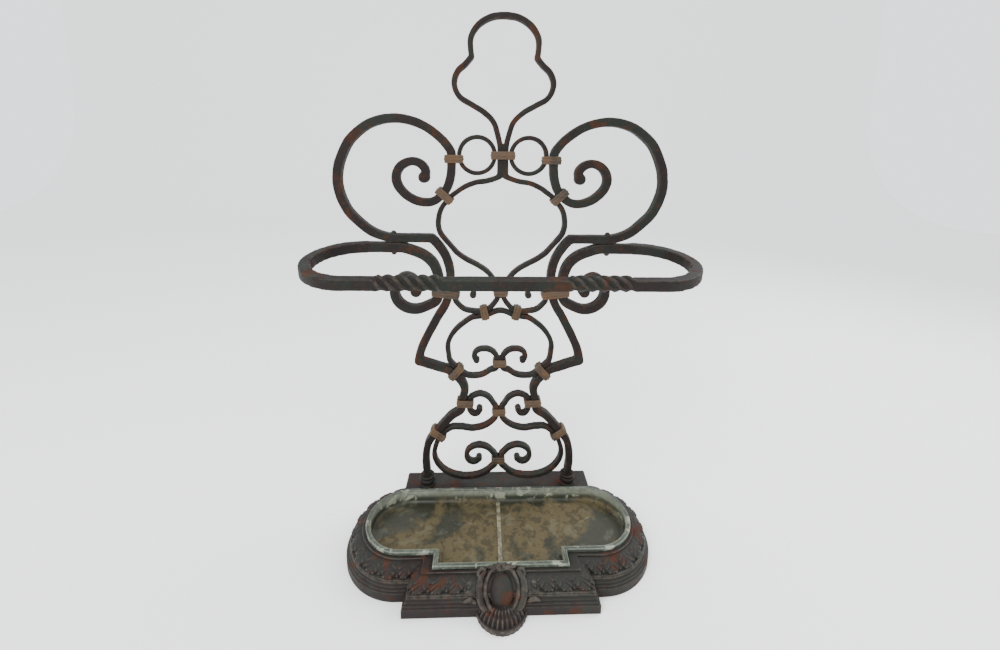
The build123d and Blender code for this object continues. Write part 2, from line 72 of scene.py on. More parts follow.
def buildCamera():
    turn, down, roll = cameraSet["turn"], cameraSet["down"], cameraSet["roll"]
    forward = Vector((math.sin(turn) * math.cos(down), math.cos(turn) * math.cos(down), -math.sin(down)))
    right = Vector((math.cos(turn), -math.sin(turn), 0.0))
    up = right.cross(forward)
    tiltedRight = right * math.cos(roll) + up * math.sin(roll)
    tiltedUp = up * math.cos(roll) - right * math.sin(roll)
    data = bpy.data.cameras.new("camera")
    data.lens = cameraSet["lens"]
    data.sensor_width = 36
    data.shift_y = cameraSet["shiftY"]
    data.clip_start = 0.01
    camera = bpy.data.objects.new("camera", data)
    matrix = Matrix((tiltedRight, tiltedUp, -forward)).transposed().to_4x4()
    matrix.translation = Vector(cameraSet["place"])
    camera.matrix_world = matrix
    bpy.context.collection.objects.link(camera)
    bpy.context.scene.camera = camera


studio = {
    "floorSize": 9.0,
    "floorTone": (0.93, 0.93, 0.925),
    "skyTone": (0.95, 0.97, 1.0),
    "skyStrength": 1.9,
    "keyPower": 60.0,
    "rimPower": 30.0,
}


def areaLight(name, place, target, size, power):
    data = bpy.data.lights.new(name, "AREA")
    data.energy = power
    data.size = size
    lamp = bpy.data.objects.new(name, data)
    lamp.location = place
    aim = Vector(target) - Vector(place)
    lamp.rotation_euler = aim.to_track_quat("-Z", "Y").to_euler()
    bpy.context.collection.objects.link(lamp)


def buildStudio():
    half = studio["floorSize"] / 2
    bend = 1.2
    profile = [(-half, 0.0)] + [
        (half - bend + bend * math.sin(a), bend - bend * math.cos(a))
        for a in np.linspace(0, math.pi / 2, 12)
    ] + [(half, half)]
    verts = [(x, y, z) for y, z in profile for x in (-half, half)]
    faces = [(2 * i, 2 * i + 1, 2 * i + 3, 2 * i + 2) for i in range(len(profile) - 1)]
    mesh = bpy.data.meshes.new("floor")
    mesh.from_pydata(verts, [], faces)
    mesh.shade_smooth()
    floor = bpy.data.objects.new("floor", mesh)
    bpy.context.collection.objects.link(floor)
    material = bpy.data.materials.new("paleFloor")
    material.use_nodes = True
    shader = material.node_tree.nodes["Principled BSDF"]
    shader.inputs["Base Color"].default_value = (*studio["floorTone"], 1)
    shader.inputs["Roughness"].default_value = 0.85
    mesh.materials.append(material)
    world = bpy.data.worlds.new("sky")
    bpy.context.scene.world = world
    world.use_nodes = True
    world.node_tree.nodes["Background"].inputs["Color"].default_value = (*studio["skyTone"], 1)
    world.node_tree.nodes["Background"].inputs["Strength"].default_value = studio["skyStrength"]
    areaLight("keyLight", (-1.1, -1.6, 2.0), (0, 0, 0.35), 1.2, studio["keyPower"])
    areaLight("rimLight", (1.5, 0.6, 1.6), (0, 0, 0.4), 0.8, studio["rimPower"])


buildCamera()
buildStudio()
print("camera and studio ready")


# shared shader groups
# each input is (name, kind, default), each output (name, kind)
def newGroup(name, inputs, outputs):
    group = bpy.data.node_groups.new(name, "ShaderNodeTree")
    kinds = {"value": "NodeSocketFloat", "colour": "NodeSocketColor", "vector": "NodeSocketVector"}
    for label, kind, default in inputs:
        socket = group.interface.new_socket(name=label, in_out="INPUT", socket_type=kinds[kind])
        if default is not None:
            socket.default_value = default
    for label, kind in outputs:
        group.interface.new_socket(name=label, in_out="OUTPUT", socket_type=kinds[kind])
    return group, group.nodes.new("NodeGroupInput"), group.nodes.new("NodeGroupOutput")


def mathNode(tree, operation, first, second=0.5, clamp=False):
    node = tree.nodes.new("ShaderNodeMath")
    node.operation = operation
    node.use_clamp = clamp
    for socket, value in zip(node.inputs, (first, second)):
        if isinstance(value, (int, float)):
            socket.default_value = value
        else:
            tree.links.new(value, socket)
    return node.outputs[0]


def noiseNode(tree, vector, scale, detail, rough=0.5, warp=0.0):
    node = tree.nodes.new("ShaderNodeTexNoise")
    for label, value in (("Vector", vector), ("Scale", scale), ("Detail", detail), ("Roughness", rough),
                         ("Distortion", warp)):
        if isinstance(value, (int, float)):
            node.inputs[label].default_value = value
        elif value is not None:
            tree.links.new(value, node.inputs[label])
    return node.outputs["Fac"]


def rangeNode(tree, value, low, high, outLow=0.0, outHigh=1.0):
    node = tree.nodes.new("ShaderNodeMapRange")
    node.interpolation_type = "SMOOTHSTEP"
    for label, item in (("Value", value), ("From Min", low), ("From Max", high), ("To Min", outLow),
                        ("To Max", outHigh)):
        if isinstance(item, (int, float)):
            node.inputs[label].default_value = item
        else:
            tree.links.new(item, node.inputs[label])
    return node.outputs["Result"]


def mixNode(tree, factor, first, second):
    node = tree.nodes.new("ShaderNodeMix")
    node.data_type = "RGBA"
    factorSocket, firstColour, secondColour = node.inputs["Factor"], node.inputs[6], node.inputs[7]
    for socket, value in ((factorSocket, factor), (firstColour, first), (secondColour, second)):
        if isinstance(value, tuple):
            socket.default_value = (*value, 1)
        elif isinstance(value, (int, float)):
            socket.default_value = value
        else:
            tree.links.new(value, socket)
    return node.outputs[2]


# Blotches of one finish over another, broken up at their borders.
def buildPatchGroup():
    group, given, out = newGroup(
        "blotches",
        [("Vector", "vector", None), ("Size", "value", 20.0), ("Cover", "value", 0.4),
         ("Soft", "value", 0.08)],
        [("Mask", "value")])
    large = noiseNode(group, given.outputs["Vector"], given.outputs["Size"], 5.0, 0.62, 0.6)
    edge = mathNode(group, "SUBTRACT", 1.0, given.outputs["Cover"])
    low = mathNode(group, "SUBTRACT", edge, given.outputs["Soft"])
    high = mathNode(group, "ADD", edge, given.outputs["Soft"])
    wide = rangeNode(group, large, 0.25, 0.75)
    group.links.new(rangeNode(group, wide, low, high), out.inputs["Mask"])
    return group


# Masks of the ridges, which take rubbed wear and a painted highlight, and of the hollows, which are darkened.
def buildEdgeGroup():
    group, given, out = newGroup(
        "ridgeWearHighlightAndHollows",
        [("Vector", "vector", None), ("Ridge", "value", 0.512), ("Hollow", "value", 0.488),
         ("Break", "value", 0.6)],
        [("Ridges", "value"), ("Hollows", "value")])
    shape = group.nodes.new("ShaderNodeNewGeometry").outputs["Pointiness"]
    broken = rangeNode(group, noiseNode(group, given.outputs["Vector"], 160.0, 4.0), 0.35, 0.65)
    top = mathNode(group, "ADD", given.outputs["Ridge"], 0.045)
    # ridge mask: convex edges get rubbed wear together with a painted highlight
    ridges = rangeNode(group, shape, given.outputs["Ridge"], top)
    keep = mathNode(group, "SUBTRACT", 1.0, mathNode(group, "MULTIPLY", broken, given.outputs["Break"]))
    group.links.new(mathNode(group, "MULTIPLY", ridges, keep, True), out.inputs["Ridges"])
    # hollow mask: concave places are darkened
    base = mathNode(group, "SUBTRACT", given.outputs["Hollow"], 0.045)
    raised = rangeNode(group, shape, base, given.outputs["Hollow"])
    group.links.new(mathNode(group, "SUBTRACT", 1.0, raised), out.inputs["Hollows"])
    return group


# Height of a corroded surface: scale, pits and fine grain.
def buildPitGroup():
    group, given, out = newGroup(
        "corrodedSkin",
        [("Vector", "vector", None), ("Size", "value", 90.0), ("Pits", "value", 0.6)],
        [("Height", "value"), ("Pit", "value")])
    fine = mathNode(group, "MULTIPLY", given.outputs["Size"], 9.0)
    grain = noiseNode(group, given.outputs["Vector"], fine, 6.0, 0.7)
    swell = noiseNode(group, given.outputs["Vector"], given.outputs["Size"], 4.0, 0.6)
    cells = group.nodes.new("ShaderNodeTexVoronoi")
    group.links.new(given.outputs["Vector"], cells.inputs["Vector"])
    group.links.new(mathNode(group, "MULTIPLY", given.outputs["Size"], 4.0), cells.inputs["Scale"])
    pit = rangeNode(group, cells.outputs["Distance"], 0.28, 0.05)
    spread = noiseNode(group, given.outputs["Vector"], given.outputs["Size"], 2.0)
    some = rangeNode(group, spread, 0.5, 0.62)
    pit = mathNode(group, "MULTIPLY", pit, some, True)
    sunk = mathNode(group, "MULTIPLY", pit, given.outputs["Pits"])
    total = mathNode(group, "ADD", mathNode(group, "MULTIPLY", grain, 0.35), swell)
    group.links.new(mathNode(group, "SUBTRACT", total, sunk), out.inputs["Height"])
    group.links.new(pit, out.inputs["Pit"])
    return group


blotches = buildPatchGroup()
ridgeWearHighlightAndHollows = buildEdgeGroup()
corrodedSkin = buildPitGroup()


# One material under construction: its tree, its shader and its object coordinates.
class Finish:
    def __init__(self, name, roughness, metallic, gloss=0.5):
        self.material = bpy.data.materials.new(name)
        self.material.use_nodes = True
        self.tree = self.material.node_tree
        self.shader = self.tree.nodes["Principled BSDF"]
        self.shader.inputs["Roughness"].default_value = roughness
        self.shader.inputs["Metallic"].default_value = metallic
        self.shader.inputs["Specular IOR Level"].default_value = gloss
        self.place = self.tree.nodes.new("ShaderNodeTexCoord").outputs["Object"]

    def group(self, source, **values):
        node = self.tree.nodes.new("ShaderNodeGroup")
        node.node_tree = source
        self.tree.links.new(self.place, node.inputs["Vector"])
        for label, value in values.items():
            node.inputs[label].default_value = value
        return node

    def colour(self, socket):
        self.tree.links.new(socket, self.shader.inputs["Base Color"])

    def rough(self, socket):
        self.tree.links.new(socket, self.shader.inputs["Roughness"])

    def bump(self, height, strength, distance):
        node = self.tree.nodes.new("ShaderNodeBump")
        node.inputs["Strength"].default_value = strength
        node.inputs["Distance"].default_value = distance
        self.tree.links.new(height, node.inputs["Height"])
        self.tree.links.new(node.outputs["Normal"], self.shader.inputs["Normal"])


# Dark painted iron with a second dark tone, rust blotches, ridges lightened by rubbed wear and painted
# highlight, and darker hollows.
def corrodedIron(name, tones, rustSize, rustCover, roughness=0.62):
    finish = Finish(name, roughness, 0.0, tones["gloss"])
    tree = finish.tree
    second = finish.group(blotches, Size=14.0, Cover=0.45, Soft=0.2)
    rust = finish.group(blotches, Size=rustSize, Cover=rustCover, Soft=0.1)
    speck = finish.group(blotches, Size=rustSize * 5, Cover=rustCover * 0.8, Soft=0.08)
    edges = finish.group(ridgeWearHighlightAndHollows, Ridge=tones["ridge"], Break=0.8)
    skin = finish.group(corrodedSkin, Size=90.0)
    colour = mixNode(tree, second.outputs["Mask"], tones["dark"], tones["green"])
    rustMask = mathNode(tree, "MAXIMUM", rust.outputs["Mask"],
                        mathNode(tree, "MULTIPLY", speck.outputs["Mask"], 0.7))
    rustTone = mixNode(tree, skin.outputs["Height"], tones["rust"], tones["rustLight"])
    colour = mixNode(tree, mathNode(tree, "MULTIPLY", rustMask, tones["rustShare"]), colour, rustTone)
    # ridges lightened: rubbed wear plus painted highlight
    colour = mixNode(tree, mathNode(tree, "MULTIPLY", edges.outputs["Ridges"], tones["rubAndHighlightShare"]), colour,
                     tones["rubbedAndHighlight"])
    # darker towards the hollows
    colour = mixNode(tree, mathNode(tree, "MULTIPLY", edges.outputs["Hollows"], 0.75), colour, tones["hollowDark"])
    finish.colour(colour)
    finish.rough(rangeNode(tree, rustMask, 0.0, 1.0, roughness, 0.9))
    finish.bump(skin.outputs["Height"], 0.55, 0.0006)
    return finish.material


# in each set of tones the rubbed colour on the ridges is rubbed wear together with a painted highlight
barIron = corrodedIron("barIron", {
    "dark": (0.0085, 0.0060, 0.0052), "green": (0.0085, 0.0105, 0.0080), "rust": (0.0180, 0.0070, 0.0042),
    "rustLight": (0.060, 0.0235, 0.0125), "rubbedAndHighlight": (0.095, 0.072, 0.054), "hollowDark": (0.003, 0.002, 0.002),
    "rustShare": 0.6, "rubAndHighlightShare": 0.34, "gloss": 0.16, "ridge": 0.515}, 36.0, 0.27)
collarIron = corrodedIron("collarIron", {
    "dark": (0.055, 0.034, 0.019), "green": (0.028, 0.021, 0.014), "rust": (0.060, 0.026, 0.012),
    "rustLight": (0.12, 0.072, 0.038), "rubbedAndHighlight": (0.19, 0.135, 0.080), "hollowDark": (0.008, 0.005, 0.004),
    "rustShare": 0.5, "rubAndHighlightShare": 0.6, "gloss": 0.25, "ridge": 0.515}, 60.0, 0.4, 0.55)
castIron = corrodedIron("castIron", {
    "dark": (0.0105, 0.0070, 0.0060), "green": (0.0130, 0.0135, 0.0110), "rust": (0.0200, 0.0072, 0.0042),
    "rustLight": (0.070, 0.0225, 0.0115), "rubbedAndHighlight": (0.074, 0.064, 0.050), "hollowDark": (0.0025, 0.0018, 0.0016),
    "rustShare": 0.6, "rubAndHighlightShare": 0.6, "gloss": 0.2, "ridge": 0.517}, 42.0, 0.22)
print("iron finishes ready")


# geometry node tree that beats a plain bar into a forged one
def newTree(name, inputs):
    tree = bpy.data.node_groups.new(name, "GeometryNodeTree")
    tree.interface.new_socket(name="Geometry", in_out="INPUT", socket_type="NodeSocketGeometry")
    tree.interface.new_socket(name="Geometry", in_out="OUTPUT", socket_type="NodeSocketGeometry")
    for label, kind, default in inputs:
        socket = tree.interface.new_socket(name=label, in_out="INPUT", socket_type=kind)
        if default is not None:
            socket.default_value = default
    return tree, tree.nodes.new("NodeGroupInput"), tree.nodes.new("NodeGroupOutput")


# Applies the tree and leaves the object with its finished mesh and no modifiers.
def runTree(obj, tree, settings):
    modifier = obj.modifiers.new(tree.name, "NODES")
    modifier.node_group = tree
    for item in tree.interface.items_tree:
        if item.in_out == "INPUT" and item.name in settings:
            modifier[item.identifier] = settings[item.name]
    bpy.context.view_layer.update()
    evaluated = obj.evaluated_get(bpy.context.evaluated_depsgraph_get())
    mesh = bpy.data.meshes.new_from_object(evaluated)
    obj.modifiers.clear()
    old = obj.data
    obj.data = mesh
    bpy.data.meshes.remove(old)


def meshFrom(name, verts, faces, material):
    mesh = bpy.data.meshes.new(name)
    mesh.from_pydata(verts, [], faces)
    work = bmesh.new()
    work.from_mesh(mesh)
    bmesh.ops.remove_doubles(work, verts=work.verts, dist=0.00001)
    bmesh.ops.dissolve_degenerate(work, edges=work.edges, dist=0.00001)
    bmesh.ops.recalc_face_normals(work, faces=work.faces)
    work.to_mesh(mesh)
    work.free()
    mesh.shade_smooth()
    mesh.materials.append(material)
    piece = bpy.data.objects.new(name, mesh)
    bpy.context.collection.objects.link(piece)
    return piece


# Faces between the rows of a tube, each with the same number of points round it.
def tubeFaces(rows, sides):
    faces = []
    for i in range(rows - 1):
        for j in range(sides):
            k = (j + 1) % sides
            faces.append((i * sides + j, i * sides + k, (i + 1) * sides + k, (i + 1) * sides + j))
    return faces


def closedTube(rows, sides):
    ends = [tuple(range(sides - 1, -1, -1)), tuple(range((rows - 1) * sides, rows * sides))]
    return tubeFaces(rows, sides) + ends


def buildForgeTree():
    tree, given, out = newTree("forge", [
        ("Hammer Size", "NodeSocketFloat", 60.0), ("Hammer Depth", "NodeSocketFloat", 0.0004),
        ("Pit Size", "NodeSocketFloat", 420.0), ("Pit Depth", "NodeSocketFloat", 0.0001),
        ("Seed", "NodeSocketFloat", 0.0), ("Finish", "NodeSocketMaterial", None)])
    links = tree.links
    move = tree.nodes.new("GeometryNodeSetPosition")
    links.new(given.outputs["Geometry"], move.inputs["Geometry"])
    total = None
    for size, depth in (("Hammer Size", "Hammer Depth"), ("Pit Size", "Pit Depth")):
        bumps = tree.nodes.new("ShaderNodeTexNoise")
        bumps.noise_dimensions = "4D"
        bumps.inputs["Detail"].default_value = 2.0
        links.new(given.outputs[size], bumps.inputs["Scale"])
        links.new(given.outputs["Seed"], bumps.inputs["W"])
        centred = tree.nodes.new("ShaderNodeMath")
        centred.operation = "SUBTRACT"
        centred.inputs[1].default_value = 0.55
        links.new(bumps.outputs["Fac"], centred.inputs[0])
        scaled = tree.nodes.new("ShaderNodeMath")
        scaled.operation = "MULTIPLY"
        links.new(centred.outputs[0], scaled.inputs[0])
        links.new(given.outputs[depth], scaled.inputs[1])
        if total is None:
            total = scaled.outputs[0]
        else:
            added = tree.nodes.new("ShaderNodeMath")
            links.new(total, added.inputs[0])
            links.new(scaled.outputs[0], added.inputs[1])
            total = added.outputs[0]
    along = tree.nodes.new("ShaderNodeVectorMath")
    along.operation = "SCALE"
    links.new(tree.nodes.new("GeometryNodeInputNormal").outputs[0], along.inputs[0])
    links.new(total, along.inputs["Scale"])
    links.new(along.outputs[0], move.inputs["Offset"])
    smooth = tree.nodes.new("GeometryNodeSetShadeSmooth")
    links.new(move.outputs[0], smooth.inputs[0])
    real = tree.nodes.new("GeometryNodeRealizeInstances")
    links.new(smooth.outputs[0], real.inputs[0])
    finish = tree.nodes.new("GeometryNodeSetMaterial")
    links.new(real.outputs[0], finish.inputs["Geometry"])
    links.new(given.outputs["Finish"], finish.inputs["Material"])
    links.new(finish.outputs[0], out.inputs[0])
    return tree


forgeTree = buildForgeTree()


# A merged copy of a CAD node's mesh, as a new object at the origin.
def copyOf(nodeName, pieceName):
    work = bmesh.new()
    work.from_mesh(nodes[nodeName].data)
    bmesh.ops.remove_doubles(work, verts=work.verts, dist=0.00001)
    mesh = bpy.data.meshes.new(pieceName)
    work.to_mesh(mesh)
    work.free()
    piece = bpy.data.objects.new(pieceName, mesh)
    bpy.context.collection.objects.link(piece)
    return piece


# Hammer marks stay inside the box of the part they are on.
def keepInside(piece, low, high):
    count = len(piece.data.vertices)
    spots = np.empty(count * 3, dtype=np.float32)
    piece.data.vertices.foreach_get("co", spots)
    low, high = np.array(low, dtype=np.float32), np.array(high, dtype=np.float32)
    spots = np.clip(spots.reshape(count, 3), low, high)
    piece.data.vertices.foreach_set("co", spots.ravel())
    piece.data.update()


# Replaces a CAD node by a beaten copy: softened corners, hammer marks and pits.
def forge(nodeName, settings, finish, seed):
    piece = copyOf(nodeName, nodeName + "_forged")
    remesh = piece.modifiers.new("grain", "REMESH")
    remesh.mode = "VOXEL"
    remesh.voxel_size = settings["grain"]
    soften = piece.modifiers.new("soften", "SMOOTH")
    soften.factor = 0.5
    soften.iterations = settings["soften"]
    runTree(piece, forgeTree, {
        "Hammer Size": settings["hammerSize"], "Hammer Depth": settings["hammerDepth"],
        "Pit Size": settings["pitSize"], "Pit Depth": settings["pitDepth"], "Seed": seed, "Finish": finish})
    keepInside(piece, *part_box(nodeName))
    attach(piece, settings["body"])
    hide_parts(nodeName)


barWork = {"grain": 0.0013, "soften": 5, "hammerSize": 55.0, "hammerDepth": 0.0011, "pitSize": 330.0,
           "pitDepth": 0.0003, "body": "stand", "slot": "bar_iron"}
collarWork = {"grain": 0.0006, "soften": 2, "hammerSize": 110.0, "hammerDepth": 0.0006, "pitSize": 500.0,
              "pitDepth": 0.0002, "body": "stand", "slot": "collar_iron"}
bars = ["stile_left", "stile_right", "hoop_bar", "crest_bar", "ring_left", "ring_right", "lyre_bar",
        "lower_scroll_left", "lower_scroll_right"]
for seed, name in enumerate(bars):
    work = {**barWork, "grain": 0.0014, "soften": 3} if name == "hoop_bar" else barWork
    forge(name, work, barIron, float(seed))

# twisted stretches of the hoop's front bar
twist = {"start": 0.076, "length": 0.084, "turn": math.radians(540), "reach": 0.128, "tilt": math.radians(9),
         "ridge": 0.0104, "flute": 0.0066, "sharp": 1.3, "steps": 96, "sides": 32, "barHalf": 0.0075,
         "ramp": 14}                             # how fast the ridges rise at each end


# Square bar twisted about its own line; the flutes are a little hollow, as hot twisting leaves them.
def twistedRod(side):
    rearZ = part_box("hoop_bar")[1][2] - twist["barHalf"]
    frameY = (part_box("ring_left")[0][1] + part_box("ring_left")[1][1]) / 2
    verts = []
    for i in range(twist["steps"] + 1):
        t = i / twist["steps"]
        x = (-twist["start"] - twist["length"] if side < 0 else twist["start"]) + twist["length"] * t
        ends = min(1.0, twist["ramp"] * t, twist["ramp"] * (1 - t))
        for j in range(twist["sides"]):
            angle = 2 * math.pi * j / twist["sides"]
            corner = abs(math.cos(2 * (angle - math.pi / 4))) ** twist["sharp"]
            radius = twist["flute"] + (twist["ridge"] - twist["flute"]) * corner * ends
            turned = angle + twist["turn"] * t
            up, away = -radius * math.cos(turned), radius * math.sin(turned) - twist["reach"]
            verts.append((x, frameY + away * math.cos(twist["tilt"]) - up * math.sin(twist["tilt"]),
                          rearZ + away * math.sin(twist["tilt"]) + up * math.cos(twist["tilt"])))
    return verts, closedTube(twist["steps"] + 1, twist["sides"])


for side, name in ((-1, "hoop_twist_left"), (1, "hoop_twist_right")):
    piece = meshFrom(name, *twistedRod(side), barIron)
    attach(piece, "stand")
    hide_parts("hoop_bar")
print("bars forged")
collars = sorted(name for name in nodes if "collar" in name and not name.startswith("foot"))
for seed, name in enumerate(collars):
    forge(name, collarWork, collarIron, 20.0 + seed)
for seed, name in enumerate(["foot_collar_left", "foot_collar_right"]):
    forge(name, {**collarWork, "grain": 0.0009}, barIron, 50.0 + seed)
print("collars forged")
for name in ("foot_nuts", "foot_washers", "shoulder_rivets"):
    for materialSlot in nodes[name].material_slots:
        materialSlot.material = barIron


# base casting: mouldings swept round the basin, with leaves on the ovolo
basin = {
    "middleY": 0.0148, "straight": 0.136, "radius": 0.058, "step": 0.021,
    "trayFront": 0.090, "blockFront": 0.099, "rearEnd": 0.147,
}
casting = {
    "steps": [(0.0, 27.0), (12.0, 27.0), (12.4, 25.5), (15.0, 25.5), (15.6, 23.5), (18.5, 23.5), (19.2, 21.5),
              (21.3, 21.5), (21.6, 20.0), (25.8, 19.6)],           # height and reach outside the rim, in mm
    "leafBand": [(26.0, 19.3), (29.5, 18.2), (33.0, 15.2), (36.4, 10.6), (39.0, 5.4)],
    "deck": [(39.2, 4.5), (41.0, 4.5)],
    "inside": [(35.5, -1.0), (27.5, -0.5), (27.5, 9.5), (20.5, 9.5), (16.0, 15.0), (6.5, 20.0), (0.0, 21.5)],
    "lip": (41.0, -2.6),
    "seat": [(41.0, -3.6), (40.6, -4.0), (35.5, -4.0)],              # mouth that the tray drops into
    "leafDepth": 0.0062,
    "leafSink": 0.35,                              # share of the relief that lies below the band
    "bossHalf": 0.030, "bossFade": 0.004, "bossFrontY": -0.066,      # the leaves stop behind the boss
    "leafRows": 26,
    "rounding": 0.45,
    "gap": 1.6,
    "swell": 0.00045, "swellSize": 45.0,
    "swellFrom": 0.5, "swellTo": 40.5,             # heights in mm between which the walls waver
    "inwardBelow": 13,                             # below this height they waver inwards only
}


# how many points each stretch of the outline's right half has, and how many leaves hang along it
stretches = {
    "front": {"points": 110, "leaves": 5},
    "cheek": {"points": 18, "leaves": 1},
    "shoulder": {"points": 21, "leaves": 1},
    "arc": {"points": 200, "leaves": 9},
}


# Points round the front of the basin, from the rear on the left to the rear on the right.
# Each stretch has a fixed number of points, so that outlines of any reach can be joined.
def outline(reach, frontHalf, arcEnd=None):
    radius = basin["radius"] + reach
    sideY = basin["middleY"] - radius
    frontY = sideY - basin["step"]
    corner = frontHalf + reach
    last = math.acos((basin["rearEnd"] - basin["straight"]) / radius) if arcEnd is None else arcEnd
    front, cheek, shoulder, arc = (stretches[name] for name in ("front", "cheek", "shoulder", "arc"))
    frontMark = 2 * front["leaves"]
    cheekMark = frontMark + cheek["leaves"]
    shoulderMark = cheekMark + shoulder["leaves"]
    points, marks = [], []
    for i in range(arc["points"] + 1):
        angle = -math.pi / 2 + (last + math.pi / 2) * i / arc["points"]
        points.append((basin["straight"] + radius * math.cos(angle),
                       basin["middleY"] + radius * math.sin(angle)))
        marks.append(shoulderMark + arc["leaves"] * i / arc["points"])
    for i in range(1, shoulder["points"] + 1):
        points.insert(0, (basin["straight"] + (corner - basin["straight"]) * i / shoulder["points"], sideY))
        marks.insert(0, shoulderMark - shoulder["leaves"] * i / shoulder["points"])
    for i in range(1, cheek["points"] + 1):
        points.insert(0, (corner, sideY + (frontY - sideY) * i / cheek["points"]))
        marks.insert(0, cheekMark - cheek["leaves"] * i / cheek["points"])
    for i in range(1, front["points"] + 1):
        points.insert(0, (corner * (1 - i / front["points"]), frontY))
        marks.insert(0, frontMark - front["leaves"] * i / front["points"])
    left = [(-x, y) for x, y in points[:0:-1]]
    return left + points, [frontMark - mark for mark in marks[:0:-1]] + marks


# The same polyline as evenly spaced points.
def resample(points, rows):
    points = np.array(points)
    lengths = np.concatenate([[0], np.cumsum(np.hypot(*np.diff(points, axis=0).T))])
    spots = np.linspace(0, lengths[-1], rows)
    across, up = np.interp(spots, lengths, points[:, 0]), np.interp(spots, lengths, points[:, 1])
    return list(zip(across.tolist(), up.tolist()))


# Cuts each corner of a profile back, so that it catches the light.
def rounded(points, size):
    result = [points[0]]
    for before, here, after in zip(points, points[1:], points[2:]):
        for other in (before, after):
            span = math.dist(here, other)
            share = min(size / span, 0.4) if span else 0
            result.append((here[0] + (other[0] - here[0]) * share, here[1] + (other[1] - here[1]) * share))
    return result + [points[-1]]


# The same profile with more points, so that the rubbed wear and painted highlight on an edge don't spread
# over a flat.
def filled(points, gap):
    result = [points[0]]
    for before, here in zip(points, points[1:]):
        count = max(1, math.ceil(math.dist(before, here) / gap))
        stepX, stepY = here[0] - before[0], here[1] - before[1]
        result += [(before[0] + stepX * i / count, before[1] + stepY * i / count)
                   for i in range(1, count + 1)]
    return result


hangingLeaf = {
    "width": 0.93, "tip": 0.02,              # half width of a leaf, as a share of its place
    "ground": 0.12, "body": 0.36, "crown": 0.34,
    "stem": 0.25, "stemWidth": 0.1, "stemFade": 2.2,       # thin stem between two leaves
    "vein": 0.13, "veinsUp": 2.6, "veinsAcross": 1.5,
    "rib": 0.14, "ribWidth": 0.11,
    "edge": 9,                               # how fast the relief starts at the band's edges
}


# Relief of a row of hanging leaves, 0 to 1: mark counts leaves along the band, up runs up it.
def leafHeight(mark, up):
    across = 2 * (mark - math.floor(mark)) - 1
    width = hangingLeaf["width"] * math.sqrt(max(0.0, 1 - (1 - up) ** 3)) + hangingLeaf["tip"]
    inside = 1 - (abs(across) / width) ** 2
    stem = hangingLeaf["stem"] * math.exp(-((abs(across) - 1) / hangingLeaf["stemWidth"]) ** 2)
    height = hangingLeaf["ground"] + stem * min(1.0, hangingLeaf["stemFade"] * (1 - up))
    if inside > 0:
        veins = hangingLeaf["veinsUp"] * up + hangingLeaf["veinsAcross"] * abs(across)
        vein = math.cos(2 * math.pi * veins)
        rib = math.exp(-(across / hangingLeaf["ribWidth"]) ** 2)
        height = hangingLeaf["body"] + hangingLeaf["crown"] * inside ** 0.5
        height = height + hangingLeaf["vein"] * vein * (1 - rib) + hangingLeaf["rib"] * rib
    edge = min(1.0, hangingLeaf["edge"] * up, hangingLeaf["edge"] * (1 - up))
    return height * edge


def waviness(x, y, z, scale):
    return noise.noise(Vector((x, y, z)) * scale)


# Closed prism over a plan outline.
def prism(points, low, high):
    count = len(points)
    verts = [(x, y, z) for z in (low, high) for x, y in points]
    faces = [tuple(range(count - 1, -1, -1)), tuple(range(count, 2 * count))]
    faces += [(i, (i + 1) % count, count + (i + 1) % count, count + i) for i in range(count)]
    return verts, faces


def buildCasting():
    band = resample(casting["leafBand"], casting["leafRows"])
    size, gap = casting["rounding"], casting["gap"]
    lower = filled(rounded(casting["steps"] + [casting["leafBand"][0]], size), gap)[:-1]
    upper = filled(rounded([band[-1]] + casting["deck"] + [casting["lip"]], size)[1:], gap)
    rows = [(z, g, None, basin["blockFront"]) for z, g in lower]
    rows += [(z, g, i / (len(band) - 1), basin["blockFront"]) for i, (z, g) in enumerate(band)]
    rows += [(z, g, None, basin["blockFront"]) for z, g in upper]
    rows += [(z, g, None, basin["trayFront"]) for z, g in casting["seat"]]
    rows += [(z, g, None, basin["blockFront"]) for z, g in casting["inside"]]
    verts, faces = [], []
    for z, reach, up, front in rows:
        points, marks = outline(reach * mm, front)
        if up is not None:
            lifted = []
            for mark, (x, y) in zip(marks, points):
                past = min(1.0, max(0.0, (abs(x) - casting["bossHalf"]) / casting["bossFade"]))
                fade = past if y < casting["bossFrontY"] else 1.0
                lifted.append((leafHeight(mark, up) - casting["leafSink"]) * casting["leafDepth"] * fade)
            raised = {}
            for place, lift in enumerate(lifted):
                key = round(lift, 6)
                if key not in raised:
                    raised[key] = outline(reach * mm + lift, front)[0]
                points[place] = raised[key][place]
        for x, y in points:
            free = casting["swellFrom"] < z < casting["swellTo"] and reach > 0
            sway = casting["swell"] * waviness(x, y, z * mm, casting["swellSize"]) if free else 0.0
            away = Vector((x - max(-basin["straight"], min(basin["straight"], x)), y - basin["middleY"], 0))
            away = away.normalized() if away.length > 0 else Vector((0, -1, 0))
            inner = min(0.0, sway) if z < casting["inwardBelow"] else sway
            verts.append((x + away.x * inner, y + away.y * inner, z * mm))
    columns = len(verts) // len(rows)
    for i in range(len(rows)):
        j = (i + 1) % len(rows)
        for k in range(columns - 1):
            faces.append((i * columns + k, i * columns + k + 1, j * columns + k + 1, j * columns + k))
    faces.append(tuple(i * columns for i in range(len(rows))))
    faces.append(tuple(i * columns + columns - 1 for i in reversed(range(len(rows)))))
    return verts, faces


rearBlock = {"half": 0.150, "wall": 0.0055, "front": 0.0665, "back": 0.1152, "top": 0.0409, "under": 0.0355,
             "inset": 0.004, "overlap": 0.002, "arcSteps": 6, "grain": 0.0016}


